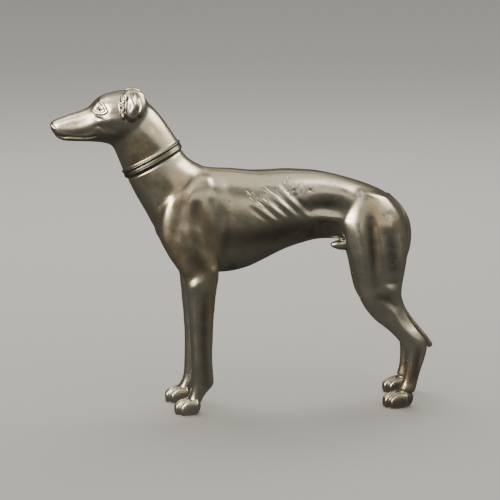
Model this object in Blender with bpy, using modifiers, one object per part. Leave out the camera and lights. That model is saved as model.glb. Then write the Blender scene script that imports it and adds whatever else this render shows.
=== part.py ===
"""A cast metal greyhound standing on its four paws, tail tucked down, with a band collar on its neck.

The statue is one casting, so it is one solid. Metres, +Z up, the head towards -X, the dog's left side
towards -Y, and the origin on the ground under the middle of the statue's box. The figure is drawn in
units of about a hundredth of its height, set by HEIGHT: sections of the body are lofted, fused into one
skin, and carved in relief.
"""

import math

import bmesh
import bpy
import numpy as np
from mathutils import Matrix

# Driving dimensions, in metres
HEIGHT = 0.2125
COLLAR_WIDTH = 0.0056
COLLAR_PROUD = 0.0009

# Level of the ground in the tables below, whose unit is one hundredth of the height from level 0 to 100
GROUND = 0.5
UNIT = HEIGHT / (100 - GROUND)

# Grain of the skin while the body is blended and while it is carved, and triangles in the finished solid
BODY_GRAIN = 0.55 * UNIT
SKIN_GRAIN = 0.38 * UNIT
BODY_TRIANGLES = 4300
HEAD_AND_PAW_TRIANGLES = 4500

# Body sections: top x, z, bottom x, z, side offset y, half width, height of the widest point as a share
# of the section, roundness of the part above it and of the part below it (2 is an ellipse)
TRUNK = [
    (-26.0, 66.0, -27.6, 55.0, 0, 4.2, 0.50, 2.0, 2.0),
    (-22.9, 70.5, -25.5, 50.5, 0, 6.1, 0.50, 2.0, 2.0),
    (-19.0, 74.0, -22.0, 46.3, 0, 7.0, 0.50, 2.0, 1.9),
    (-14.5, 76.0, -17.0, 43.6, 0, 7.4, 0.50, 1.9, 1.8),
    (-10.0, 75.8, -11.5, 43.0, 0, 8.1, 0.49, 1.9, 1.75),
    (-5.0, 75.5, -5.5, 43.2, 0, 8.7, 0.48, 2.0, 1.7),
    (0.5, 74.9, 0.0, 44.4, 0, 9.0, 0.48, 2.1, 1.65),
    (6.0, 74.8, 6.0, 47.1, 0, 9.0, 0.47, 2.2, 1.6),
    (11.5, 75.0, 11.5, 49.7, 0, 8.6, 0.45, 2.3, 1.55),
    (17.0, 74.7, 17.0, 51.5, 0, 7.8, 0.42, 2.4, 1.5),
    (22.0, 74.2, 22.0, 52.6, 0, 7.1, 0.38, 2.5, 1.45),
    (27.0, 73.1, 26.5, 52.7, 0, 6.9, 0.40, 2.5, 1.5),
    (32.5, 71.5, 31.0, 52.0, 0, 7.3, 0.50, 2.4, 1.7),
    (38.5, 69.4, 36.0, 51.0, 0, 7.9, 0.58, 2.3, 1.9),
    (43.5, 66.9, 40.5, 50.0, 0, 7.7, 0.58, 2.2, 2.0),
    (47.3, 63.4, 44.5, 49.5, 0, 6.2, 0.55, 2.0, 2.0),
    (49.6, 59.0, 47.5, 50.5, 0, 3.6, 0.50, 2.0, 2.0),
]
NECK = [
    (-9.0, 73.5, -23.2, 52.6, 0, 6.4, 0.50, 2.0, 2.0),
    (-13.0, 76.0, -28.4, 57.4, 0, 6.5, 0.50, 2.0, 2.0),
    (-16.5, 77.8, -31.5, 63.0, 0, 6.2, 0.50, 2.0, 2.0),
    (-18.7, 79.5, -34.3, 68.0, 0, 5.8, 0.50, 2.0, 2.0),
    (-20.0, 81.5, -36.4, 72.3, 0, 5.5, 0.50, 2.1, 2.1),
    (-21.3, 84.5, -37.9, 75.3, 0, 5.2, 0.50, 2.1, 2.1),
    (-23.3, 87.6, -39.2, 78.6, 0, 5.0, 0.50, 2.1, 2.1),
    (-25.5, 90.9, -40.2, 81.1, 0, 4.8, 0.50, 2.1, 2.1),
    (-28.5, 94.5, -41.0, 83.0, 0, 4.6, 0.50, 2.0, 2.0),
    (-31.0, 96.5, -41.5, 86.0, 0, 4.2, 0.50, 2.0, 2.0),
]
HEAD = [
    (-29.9, 95.5, -31.0, 90.0, 0, 3.0, 0.50, 2.0, 2.0),
    (-31.3, 98.0, -32.8, 87.0, 0, 4.5, 0.52, 2.0, 2.0),
    (-33.8, 99.2, -35.5, 84.8, 0, 5.2, 0.55, 2.0, 2.2),
    (-37.0, 99.7, -38.5, 83.4, 0, 5.5, 0.57, 2.0, 2.2),
    (-40.5, 99.3, -41.3, 83.2, 0, 5.3, 0.58, 2.0, 2.2),
    (-43.6, 98.4, -44.0, 83.9, 0, 4.7, 0.58, 2.1, 2.2),
    (-45.9, 97.0, -46.0, 84.1, 0, 4.0, 0.56, 2.2, 2.2),
    (-47.6, 95.1, -47.8, 84.2, 0, 3.5, 0.50, 2.2, 2.3),
    (-50.0, 93.9, -50.2, 84.3, 0, 3.1, 0.48, 2.2, 2.4),
    (-53.5, 92.8, -53.7, 84.5, 0, 2.75, 0.47, 2.2, 2.4),
    (-56.6, 91.7, -56.4, 84.9, 0, 2.4, 0.48, 2.2, 2.3),
    (-58.5, 91.0, -58.0, 86.0, 0, 2.1, 0.50, 2.2, 2.2),
    (-59.3, 90.4, -59.0, 87.6, 0, 1.6, 0.50, 2.0, 2.0),
]

# Leg sections: front x, z, rear x, z, side offset y, half width
FORE_LEG = [
    (-16.8, 73.2, -11.5, 73.6, 3.6, 1.6),
    (-23.2, 69.6, -9.4, 69.0, 4.5, 2.7),
    (-26.4, 64.5, -9.0, 63.0, 5.1, 3.1),
    (-27.4, 59.5, -9.2, 57.5, 5.5, 3.3),
    (-27.2, 55.0, -9.4, 52.5, 5.9, 3.3),
    (-25.5, 50.5, -9.5, 48.8, 6.4, 3.2),
    (-22.9, 46.5, -9.4, 45.5, 6.8, 3.0),
    (-20.6, 42.8, -9.6, 42.5, 7.1, 2.85),
    (-19.9, 38.5, -10.3, 38.5, 7.2, 2.7),
    (-19.5, 34.0, -10.8, 34.0, 7.25, 2.6),
    (-19.0, 29.0, -11.2, 29.0, 7.3, 2.45),
    (-18.6, 23.0, -11.5, 23.0, 7.3, 2.3),
    (-18.4, 17.0, -11.6, 17.0, 7.3, 2.2),
    (-18.3, 12.5, -11.4, 12.5, 7.3, 2.15),
    (-18.2, 10.2, -11.2, 9.4, 7.3, 2.1),
    (-18.4, 8.0, -13.4, 6.9, 7.3, 1.95),
    (-19.1, 6.0, -14.8, 4.9, 7.3, 2.1),
    (-20.2, 4.0, -15.6, 3.0, 7.3, 2.3),
]
HIND_LEG = [
    (33.0, 68.5, 43.5, 66.0, 4.6, 2.8),
    (30.5, 64.0, 47.0, 61.0, 5.2, 3.5),
    (28.9, 59.0, 48.7, 56.0, 5.6, 3.9),
    (29.3, 54.4, 49.3, 51.2, 6.0, 4.0),
    (30.5, 49.6, 49.1, 46.8, 6.4, 3.8),
    (31.8, 44.6, 48.4, 42.6, 6.7, 3.5),
    (32.8, 39.6, 47.7, 38.6, 7.0, 3.1),
    (34.3, 34.3, 47.4, 35.0, 7.2, 2.75),
    (36.4, 30.8, 47.8, 32.3, 7.4, 2.4),
    (39.2, 27.7, 49.1, 29.6, 7.7, 2.1),
    (42.3, 25.3, 51.0, 26.7, 8.0, 1.9),
    (45.3, 22.4, 53.1, 24.0, 8.3, 1.75),
    (47.6, 19.5, 55.3, 21.2, 8.5, 1.75),
    (48.7, 16.5, 55.6, 18.6, 8.6, 1.7),
    (48.6, 13.4, 54.6, 14.6, 8.6, 1.6),
    (48.2, 10.5, 53.4, 11.0, 8.6, 1.6),
    (47.5, 8.0, 52.6, 7.6, 8.6, 1.8),
    (46.4, 6.0, 51.9, 4.8, 8.6, 2.2),
]

# Paw sections from heel to toes, as on the body
FORE_PAW = [
    (-15.8, 3.8, -16.7, 0.4, 7.3, 1.4),
    (-17.2, 5.0, -17.4, 0.0, 7.3, 2.2),
    (-19.2, 5.1, -19.2, -0.1, 7.3, 2.4),
    (-20.6, 3.6, -20.8, 0.0, 7.3, 2.2),
]
HIND_PAW = [
    (51.1, 4.2, 49.7, 0.4, 8.6, 1.4),
    (49.9, 5.6, 48.8, 0.0, 8.6, 2.1),
    (47.0, 5.6, 47.0, -0.1, 8.6, 2.4),
    (45.0, 3.6, 44.8, 0.0, 8.6, 2.2),
]

# One toe, from its knuckle: top x, z, bottom x, z, with x running back from the toe's tip
TOE = [
    (5.6, 4.9, 5.6, 1.0),
    (3.8, 5.05, 3.8, 0.2),
    (2.1, 4.6, 2.1, 0.0),
    (0.9, 3.7, 1.0, 0.2),
]
TOE_HALF_WIDTH = 0.92
# Side offset of each toe from the paw's middle, and how far its tip stays behind the foremost tip
TOES = [(-2.35, 1.6), (-0.84, 0.0), (0.84, 0.1), (2.35, 1.7)]
FORE_TIP = (-24.0, 7.3)
HIND_TIP = (41.3, 8.6)

# The tail's line down the middle, x, z and radius
TAIL = [
    (43.5, 65.5, 1.6),
    (47.2, 61.6, 1.7),
    (49.6, 57.6, 1.6),
    (50.4, 54.0, 1.45),
    (50.3, 50.0, 1.3),
    (49.4, 46.0, 1.15),
    (48.5, 42.0, 1.1),
    (48.0, 38.0, 1.05),
    (48.0, 34.5, 1.0),
    (49.1, 30.6, 0.95),
    (51.5, 26.6, 0.95),
    (54.5, 22.9, 0.9),
    (57.0, 19.8, 0.95),
    (58.4, 17.7, 1.05),
]
SHEATH = [
    (26.6, 51.4, 26.6, 50.0, 0, 0.8),
    (27.7, 51.9, 28.0, 49.3, 0, 1.25),
    (30.0, 52.4, 30.4, 48.9, 0, 1.5),
    (33.5, 53.0, 33.5, 49.0, 0, 1.7),
]

# The ear, folded back against the skull: centre x, y, z and half sizes of its tuft, front and rear lobes
EAR_LOBES = [
    ((-38.0, 4.7, 94.9), (0.95, 1.1, 3.8)),
    ((-35.3, 4.9, 94.8), (2.4, 1.6, 4.3)),
    ((-32.9, 4.5, 95.3), (2.1, 1.4, 3.4)),
    ((-34.6, 4.0, 97.5), (3.4, 1.3, 2.7)),
]
EAR_LEAN = 11

# The collar runs square to the neck through this point of the neck's middle line
COLLAR_NAPE = (-20.9, 83.0)
COLLAR_THROAT = (-36.9, 74.5)

# Relief seen from the side: path of x, z points, half width of the stroke, and how far it stands out
SHOULDER = [
    ([(-15.2, 74.5), (-18.4, 72.3), (-20.2, 69.5), (-21.6, 66.2), (-23.2, 62.0), (-24.4, 58.0)], 1.8, -0.3),
    ([(-22.8, 70.5), (-24.8, 66.5), (-26.2, 62.0), (-26.8, 57.0)], 2.6, 0.3),
    ([(-29.4, 67.6), (-28.5, 63.2), (-27.9, 58.3)], 1.2, 0.4),
    ([(-15.6, 72.5), (-17.8, 67.5), (-20.4, 61.0)], 1.8, 0.5),
    ([(-14.8, 67.0), (-13.2, 62.5), (-12.4, 56.5), (-11.4, 50.5)], 1.7, 0.5),
    ([(-11.4, 68.0), (-9.9, 61.0), (-9.0, 53.0)], 1.8, -0.5),
    ([(-16.2, 67.0), (-16.4, 61.5), (-15.9, 57.0)], 1.6, -0.45),
    ([(-20.4, 57.5), (-20.0, 55.5), (-19.4, 53.5)], 2.4, 0.8),
    ([(-11.5, 73.5), (-9.6, 70.8), (-8.4, 67.5)], 3.2, 0.6),
    ([(-32.9, 89.6), (-31.1, 87.4), (-29.4, 84.9), (-27.9, 81.8)], 1.8, 0.4),
]
FLANK = [
    ([(19.0, 70.6), (26.0, 70.4), (31.5, 69.2)], 2.8, 0.2),
    ([(17.5, 65.0), (24.0, 64.2), (30.5, 63.4)], 3.2, -1.0),
    ([(17.0, 60.3), (22.3, 61.0), (25.7, 60.1), (28.2, 58.9), (30.2, 56.6)], 1.5, 0.6),
    ([(20.0, 57.8), (25.0, 57.4), (28.0, 55.4)], 2.0, -0.4),
    ([(32.8, 70.2), (33.8, 67.0)], 2.2, -0.2),
]
THIGH = [
    ([(32.5, 60.8), (34.0, 53.0), (35.4, 46.0), (36.4, 40.0)], 2.1, 0.65),
    ([(36.4, 61.5), (37.0, 54.0), (37.9, 46.0), (38.4, 38.5)], 2.0, -0.9),
    ([(38.8, 62.0), (39.4, 54.0), (40.2, 46.0), (40.9, 39.5)], 1.6, 0.65),
    ([(43.2, 54.0), (43.9, 48.0), (44.4, 41.0)], 2.1, -0.9),
    ([(41.6, 58.4), (44.2, 57.0)], 2.8, 0.75),
    ([(40.0, 38.5), (43.2, 37.6), (46.2, 37.0)], 1.8, 0.75),
    ([(39.0, 36.6), (42.3, 35.2), (44.6, 33.4), (46.6, 31.0)], 1.7, -0.55),
]
SHANK = [
    ([(41.6, 33.2), (44.6, 30.8), (46.3, 27.8), (48.0, 25.0), (50.2, 22.3), (52.0, 20.2)], 1.1, 0.45),
    ([(46.0, 31.6), (47.6, 28.9), (49.6, 26.4), (51.8, 24.2)], 1.4, -0.6),
    ([(52.6, 18.6), (52.3, 14.5), (51.7, 10.0)], 0.8, -0.4),
]
FOREARM = [
    ([(-20.4, 42.0), (-18.4, 43.2), (-16.2, 44.7), (-14.0, 45.4)], 1.8, -0.5),
    ([(-19.0, 38.6), (-17.4, 40.4), (-15.6, 42.9)], 1.5, 0.5),
    ([(-13.8, 39.0), (-14.3, 32.0), (-14.5, 24.0), (-13.7, 14.0)], 1.3, -0.45),
    ([(-10.9, 46.6), (-11.0, 43.4)], 1.3, 0.3),
]
EYE = [
    ([(-46.2, 94.4), (-43.2, 94.2)], 2.0, -0.5),
    ([(-45.1, 94.75), (-44.3, 94.7)], 1.25, 0.9),
    ([(-47.1, 93.8), (-46.4, 95.0), (-45.3, 96.0), (-44.1, 96.2), (-43.2, 95.1), (-42.5, 93.7)], 0.6, 0.5),
    ([(-47.1, 93.8), (-45.7, 93.3), (-44.2, 93.2), (-42.5, 93.6)], 0.6, 0.45),
    ([(-45.6, 97.5), (-44.7, 97.5), (-43.8, 97.1)], 1.0, 0.3),
    ([(-46.4, 92.7), (-45.6, 91.9), (-44.4, 91.5)], 0.6, -0.25),
]
MUZZLE = [
    ([(-56.4, 88.0), (-52.3, 88.2), (-48.7, 89.2), (-46.3, 90.2)], 1.6, 0.3),
    ([(-58.3, 86.8), (-56.4, 86.0), (-53.8, 85.8), (-50.8, 85.7), (-47.8, 85.8), (-45.6, 86.4)], 0.55, -0.55),
    ([(-46.3, 89.2), (-45.1, 89.5), (-43.9, 88.5), (-42.7, 87.3)], 0.7, -0.3),
    ([(-59.3, 90.2), (-58.8, 89.3), (-58.1, 89.0)], 0.5, -0.45),
    ([(-43.9, 91.0), (-41.0, 91.2), (-39.0, 91.2)], 2.0, 0.3),
]
EAR = [
    ([(-36.8, 98.4), (-36.6, 95.0), (-36.8, 90.8)], 0.7, -0.6),
    ([(-36.0, 98.4), (-35.0, 97.6), (-34.1, 96.3), (-33.7, 95.0), (-34.1, 93.6), (-35.0, 92.6)], 0.7, 0.55),
    ([(-35.7, 97.0), (-35.1, 96.0), (-34.9, 94.6)], 0.6, -0.4),
    ([(-34.2, 98.4), (-33.2, 97.2), (-32.7, 95.9), (-32.7, 94.4), (-33.2, 92.6), (-34.4, 91.1)], 0.7, -0.6),
]
RELIEF = [*SHOULDER, *FLANK, *THIGH, *SHANK, *FOREARM, *EYE, *MUZZLE, *EAR]

# Ribs that show as slanting ridges behind the chest: the first one's ends, the step to the next, how many
RIB_START, RIB_END = (1.4, 65.0), (8.0, 59.6)
RIB_START_STEP, RIB_END_STEP = (2.4, 1.7), (3.1, 0.6)
RIBS = 4
RIB_HALF_WIDTH, RIB_RISE, RIB_SINK = 1.1, 0.5, -0.55

# The legs of the right side stand a little off those of the left, along x, at the paw and higher up
FORE_STAGGER = (-1.6, -0.2)
HIND_STAGGER = (3.6, 1.2)
STAGGER_FROM, STAGGER_FADE = 5, 9

METAL = (0.58, 0.56, 0.51)


def spread(rows, spacing):
    """Rows about this far apart, on a smooth curve through the given rows."""
    rows = np.array(rows, float)
    middle = (rows[:, 0:2] + rows[:, 2:4]) / 2
    steps = np.linalg.norm(np.diff(middle, axis=0), axis=1)
    along = np.concatenate([[0.0], np.cumsum(steps)])
    slope = np.gradient(rows, along, axis=0)
    at = np.linspace(0, along[-1], max(2, round(along[-1] / spacing)) + 1)
    i = np.clip(np.searchsorted(along, at, side="right") - 1, 0, len(along) - 2)
    gap = (along[i + 1] - along[i])[:, None]
    t = (at - along[i])[:, None] / gap
    return (
        (2 * t**3 - 3 * t**2 + 1) * rows[i]
        + (t**3 - 2 * t**2 + t) * gap * slope[i]
        + (3 * t**2 - 2 * t**3) * rows[i + 1]
        + (t**3 - t**2) * gap * slope[i + 1]
    )


def section(row, sides):
    """The points of one section, in the tables' units."""
    ax, az, bx, bz, y, half_width, widest, above, below = row
    angle = np.arange(sides) * 2 * math.pi / sides
    c, s = np.cos(angle), np.sin(angle)
    power = np.where(s >= 0, above, below)
    out = np.sign(c) * np.abs(c) ** (2 / power) * half_width
    rise = np.abs(s) ** (2 / power)
    height = np.where(s >= 0, widest + (1 - widest) * rise, widest * (1 - rise))
    return np.stack([bx + (ax - bx) * height, y + out, bz + (az - bz) * height], axis=1)


def loft(rows, cap=0.8, sides=40, spacing=0.8):
    """A closed skin through sections, with rounded ends that stand out by cap: its points and faces."""
    rows = spread([tuple(r) + (0.5, 2.15, 2.15) if len(r) == 6 else r for r in rows], spacing)
    rings = [section(row, sides) for row in rows]
    cap_steps = 4
    for end, beside in ((0, 1), (-1, -2)):
        ring, inner = rings[end], rings[beside]
        centre = ring.mean(axis=0)
        outwards = centre - inner.mean(axis=0)
        outwards /= np.linalg.norm(outwards)
        dome = [
            centre + outwards * cap * math.sin(a) + (ring - centre) * math.cos(a)
            for a in (math.pi / 2 * k / cap_steps for k in range(1, cap_steps))
        ]
        tip = centre + outwards * cap
        if end == 0:
            rings = dome[::-1] + rings
            first_tip = tip
        else:
            rings = rings + dome
    points = np.concatenate([*rings, first_tip[None], tip[None]])
    faces = []
    for r in range(len(rings) - 1):
        for k in range(sides):
            n = (k + 1) % sides
            faces.append((r * sides + k, r * sides + n, (r + 1) * sides + n, (r + 1) * sides + k))
    last = (len(rings) - 1) * sides
    for k in range(sides):
        n = (k + 1) % sides
        faces.append((len(points) - 2, n, k))
        faces.append((len(points) - 1, last + k, last + n))
    return points, faces


def both_sides(shape):
    """A shape of the right side, and its mirror image on the left."""
    points, faces = shape
    mirrored = points * np.array([1, -1, 1])
    return [(points, faces), (mirrored, [tuple(reversed(f)) for f in faces])]


def toes(tip):
    """The four toes of a paw whose foremost tip is at x, y."""
    shapes = []
    for aside, behind in TOES:
        rows = [
            (ax + tip[0] + behind, az, bx + tip[0] + behind, bz, tip[1] + aside, TOE_HALF_WIDTH)
            for ax, az, bx, bz in TOE
        ]
        shapes.append(loft(rows, cap=0.6, sides=20, spacing=0.5))
    return shapes


def tail():
    """The tail as a loft whose sections are square to its line."""
    line = np.array(TAIL)
    way = np.gradient(line[:, :2], axis=0)
    way /= np.linalg.norm(way, axis=1)[:, None]
    rows = []
    for (x, z, radius), (dx, dz) in zip(line, way):
        rows.append((x - dz * radius, z + dx * radius, x + dz * radius, z - dx * radius, 0, radius))
    return loft(rows, cap=0.9, sides=20)


def ear_lobe(centre, half):
    """One lobe of the right ear, leaning in towards the crown."""
    mesh = bmesh.new()
    bmesh.ops.create_uvsphere(mesh, u_segments=28, v_segments=18, radius=1)
    lean = Matrix.Rotation(math.radians(EAR_LEAN), 4, "X")
    bmesh.ops.transform(
        mesh,
        matrix=Matrix.Translation(centre) @ lean @ Matrix.Diagonal((*half, 1)),
        verts=mesh.verts,
    )
    points = np.array([v.co for v in mesh.verts])
    faces = [tuple(v.index for v in f.verts) for f in mesh.faces]
    mesh.free()
    return points, faces


def collar():
    """A band that follows the neck's own section and stands out from it."""
    nape, throat = np.array(COLLAR_NAPE), np.array(COLLAR_THROAT)
    rows = spread(NECK, 0.1)
    middle = (nape + throat) / 2
    centres = (rows[:, 0:2] + rows[:, 2:4]) / 2
    neck = rows[np.argmin(np.linalg.norm(centres - middle, axis=1))]
    across = (nape - throat) / np.linalg.norm(nape - throat)
    along = np.array([across[1], -across[0]])
    proud, half = COLLAR_PROUD / UNIT, COLLAR_WIDTH / UNIT / 2
    band = []
    for step in (-half, half):
        top = nape + across * proud + along * step
        bottom = throat - across * proud + along * step
        band.append((*top, *bottom, 0, neck[5] + proud, *neck[6:]))
    return loft(band, cap=0.02, sides=56, spacing=4)


def body_shapes():
    """The trunk, neck, head and legs, which blend into each other."""
    shapes = [loft(TRUNK, cap=1.5), loft(NECK), loft(HEAD, cap=0.5)]
    for rows in (FORE_LEG, HIND_LEG):
        shapes += both_sides(loft(rows))
    return shapes


def added_shapes():
    """The tail, sheath, paws and ears, which keep sharper edges."""
    shapes = [tail(), loft(SHEATH, cap=0.4, sides=20)]
    for rows in (FORE_PAW, HIND_PAW):
        shapes += both_sides(loft(rows))
    for tip in (FORE_TIP, HIND_TIP):
        for toe in toes(tip):
            shapes += both_sides(toe)
    for centre, half in EAR_LOBES:
        shapes += both_sides(ear_lobe(centre, half))
    return shapes


def joined(shapes, name):
    """Shapes, drawn in the tables' units, as one mesh at real size."""
    points, faces, start = [], [], 0
    for some, theirs in shapes:
        points.append(some)
        faces += [tuple(start + i for i in f) for f in theirs]
        start += len(some)
    mesh = bpy.data.meshes.new(name)
    mesh.from_pydata((np.concatenate(points) * UNIT).tolist(), [], faces)
    return mesh


def evaluated(obj, kind, **settings):
    """The mesh that an object has under one modifier of this kind."""
    modifier = obj.modifiers.new(kind.title(), kind)
    for name, value in settings.items():
        setattr(modifier, name, value)
    graph = bpy.context.evaluated_depsgraph_get()
    mesh = bpy.data.meshes.new_from_object(obj.evaluated_get(graph))
    obj.modifiers.clear()
    return mesh


def coordinates(mesh):
    """The mesh's points in the tables' units, and their normals."""
    points = np.zeros(len(mesh.vertices) * 3)
    normals = np.zeros(len(mesh.vertices) * 3)
    mesh.vertices.foreach_get("co", points)
    mesh.vertices.foreach_get("normal", normals)
    return points.reshape(-1, 3) / UNIT, normals.reshape(-1, 3)


def store(mesh, points):
    mesh.vertices.foreach_set("co", (points * UNIT).ravel())
    mesh.update()


def relax(mesh, rounds, keep=0.0):
    """Smooths the skin. keep is how much of the shrinking is given back after each round."""
    points, _ = coordinates(mesh)
    ends = np.zeros(len(mesh.edges) * 2, int)
    mesh.edges.foreach_get("vertices", ends)
    a, b = ends.reshape(-1, 2).T
    count = np.bincount(a, minlength=len(points)) + np.bincount(b, minlength=len(points))
    for _ in range(rounds):
        for amount in (0.5, -0.5 * keep):
            if amount == 0:
                continue
            total = np.zeros_like(points)
            for axis in range(3):
                total[:, axis] = np.bincount(a, points[b, axis], len(points))
                total[:, axis] += np.bincount(b, points[a, axis], len(points))
            points += amount * (total / count[:, None] - points)
    store(mesh, points)


def stroke(points, path, half_width, rise, ends=0.4):
    """Height that a stroke along a path on the side view gives to each point. ends is its share there."""
    line = spread([(x, z, x, z) for x, z in path], 0.5)[:, :2]
    low, high = line.min(axis=0) - half_width, line.max(axis=0) + half_width
    side = points[:, [0, 2]]
    near = np.where(((side > low) & (side < high)).all(axis=1))[0]
    least = np.full(len(near), np.inf)
    share = np.zeros(len(near))
    for k, (start, end) in enumerate(zip(line[:-1], line[1:])):
        step = end - start
        t = np.clip((side[near] - start) @ step / max(step @ step, 1e-9), 0, 1)
        gap = np.linalg.norm(side[near] - start - t[:, None] * step, axis=1)
        closer = gap < least
        least[closer] = gap[closer]
        share[closer] = (k + t[closer]) / (len(line) - 1)
    across = np.clip(1 - (least / half_width) ** 2, 0, 1) ** 2
    height = np.zeros(len(points))
    height[near] = rise * across * (ends + (1 - ends) * np.sin(math.pi * share))
    return height


def rib_strokes():
    """The ridge of each rib, with a groove before each and one after the last."""
    strokes = []
    for step in range(2 * RIBS + 1):
        start = np.array(RIB_START) + np.array(RIB_START_STEP) * (step - 1) / 2
        end = np.array(RIB_END) + np.array(RIB_END_STEP) * (step - 1) / 2
        rise = RIB_RISE if step % 2 else RIB_SINK
        strokes.append(([tuple(start), tuple((start + end) / 2), tuple(end)], RIB_HALF_WIDTH, rise))
    return strokes


def carve(mesh):
    """Cuts the muscles, ribs, face and ears into both sides of the skin."""
    points, normals = coordinates(mesh)
    height = sum(stroke(points, *drawn) for drawn in [*RELIEF, *rib_strokes()])
    outer = np.clip(normals[:, 1] * np.sign(points[:, 1]) * 1.6 - 0.2, 0, 1)
    store(mesh, points + normals * (height * outer)[:, None])


def ramp(value, start, end):
    """0 before start, 1 after end, and smooth between them."""
    t = np.clip((value - start) / (end - start), 0, 1)
    return t * t * (3 - 2 * t)


def stagger(mesh):
    """Sets the right legs a little before or behind the left ones."""
    points, _ = coordinates(mesh)
    x, y, z = points.T
    right = ramp(y, 1.2, 4.0)
    for (at_paw, at_top), here, top in (
        (FORE_STAGGER, x < 5, 46),
        (HIND_STAGGER, x > 25, 52),
    ):
        share = 1 - np.exp(-np.clip(z - STAGGER_FROM, 0, None) / STAGGER_FADE)
        shift = at_paw + (at_top - at_paw) * share
        x[here] += (shift * right * (1 - ramp(z, top - 8, top + 10)))[here]
    store(mesh, np.stack([x, y, z], axis=1))


def flatten_soles(mesh):
    """Cuts the paws flat at the ground, and closes the cuts."""
    work = bmesh.new()
    work.from_mesh(mesh)
    cut = bmesh.ops.bisect_plane(
        work,
        geom=[*work.verts, *work.edges, *work.faces],
        plane_co=(0, 0, GROUND * UNIT),
        plane_no=(0, 0, -1),
        clear_outer=True,
    )
    rim = [g for g in cut["geom_cut"] if isinstance(g, bmesh.types.BMEdge)]
    bmesh.ops.holes_fill(work, edges=rim, sides=0)
    bmesh.ops.triangulate(work, faces=work.faces[:])
    bmesh.ops.recalc_face_normals(work, faces=work.faces[:])
    work.to_mesh(mesh)
    work.free()


def centre_on_ground(mesh):
    """Puts the origin on the ground under the middle of the box."""
    points, _ = coordinates(mesh)
    middle = (points.min(axis=0) + points.max(axis=0)) / 2 * UNIT
    mesh.transform(Matrix.Translation((-middle[0], -middle[1], -GROUND * UNIT)))


def metal():
    material = bpy.data.materials.new("silvered_metal")
    material.use_nodes = True
    shader = material.node_tree.nodes["Principled BSDF"]
    shader.inputs["Base Color"].default_value = (*METAL, 1)
    shader.inputs["Metallic"].default_value = 1
    shader.inputs["Roughness"].default_value = 0.32
    material.diffuse_color = (*METAL, 1)
    return material


def thin_out(obj, chosen, triangles):
    """Thins the chosen part of the skin until the whole of it has this many triangles."""
    group = obj.vertex_groups.new(name="chosen")
    group.add(np.where(chosen)[0].tolist(), 1.0, "REPLACE")
    now = sum(len(f.vertices) - 2 for f in obj.data.polygons)
    obj.data = evaluated(obj, "DECIMATE", ratio=triangles / now, vertex_group=group.name)
    obj.vertex_groups.clear()


def head_and_paws(mesh):
    """Which points are on the head or a paw, where the skin stays finer."""
    x, _, z = coordinates(mesh)[0].T
    return ((x < -29) & (z > 82)) | (z < 7.5)


def greyhound():
    """The whole statue as one closed skin."""
    obj = bpy.data.objects.new("greyhound", joined(body_shapes(), "body"))
    collection = bpy.data.collections.new("greyhound_statue")
    bpy.context.scene.collection.children.link(collection)
    collection.objects.link(obj)
    obj.data = evaluated(obj, "REMESH", mode="VOXEL", voxel_size=BODY_GRAIN)
    relax(obj.data, 12, keep=0.35)

    points, _ = coordinates(obj.data)
    faces = [tuple(f.vertices) for f in obj.data.polygons]
    obj.data = joined([(points, faces), *added_shapes()], "figure")
    obj.data = evaluated(obj, "REMESH", mode="VOXEL", voxel_size=SKIN_GRAIN)
    relax(obj.data, 4, keep=0.6)
    carve(obj.data)
    relax(obj.data, 1)
    stagger(obj.data)

    fine = head_and_paws(obj.data)
    triangles = sum(len(f.vertices) - 2 for f in obj.data.polygons)
    kept = sum(len(f.vertices) - 2 for f in obj.data.polygons if fine[f.vertices[0]])
    thin_out(obj, ~fine, kept + BODY_TRIANGLES)
    thin_out(obj, head_and_paws(obj.data), HEAD_AND_PAW_TRIANGLES + BODY_TRIANGLES)

    band = bpy.data.objects.new("collar", joined([collar()], "collar"))
    collection.objects.link(band)
    obj.data = evaluated(obj, "BOOLEAN", operation="UNION", solver="EXACT", object=band)
    bpy.data.objects.remove(band)
    flatten_soles(obj.data)
    centre_on_ground(obj.data)
    obj.data.name = "greyhound"
    obj.data.materials.clear()
    obj.data.materials.append(metal())
    obj.data.shade_smooth()
    obj.data.set_sharp_from_angle(angle=math.radians(40))
    return obj


def main():
    for obj in list(bpy.data.objects):
        bpy.data.objects.remove(obj)
    greyhound()


if __name__ == "__main__":
    main()
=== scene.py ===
# The looks of the cast metal greyhound. The figure of the solid is drawn again at a finer grain, with the
# eyes, ears, hair and collar carved in full, and gets a worn silvered finish with painted shade under the
# body, on the legs and low on the flanks. Metres, +Z up, the head towards -X. The tables are in units of
# about a hundredth of its height, as in the solid's own source.
import math

import bmesh
import bpy
import numpy as np
from mathutils import Matrix, Vector


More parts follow.
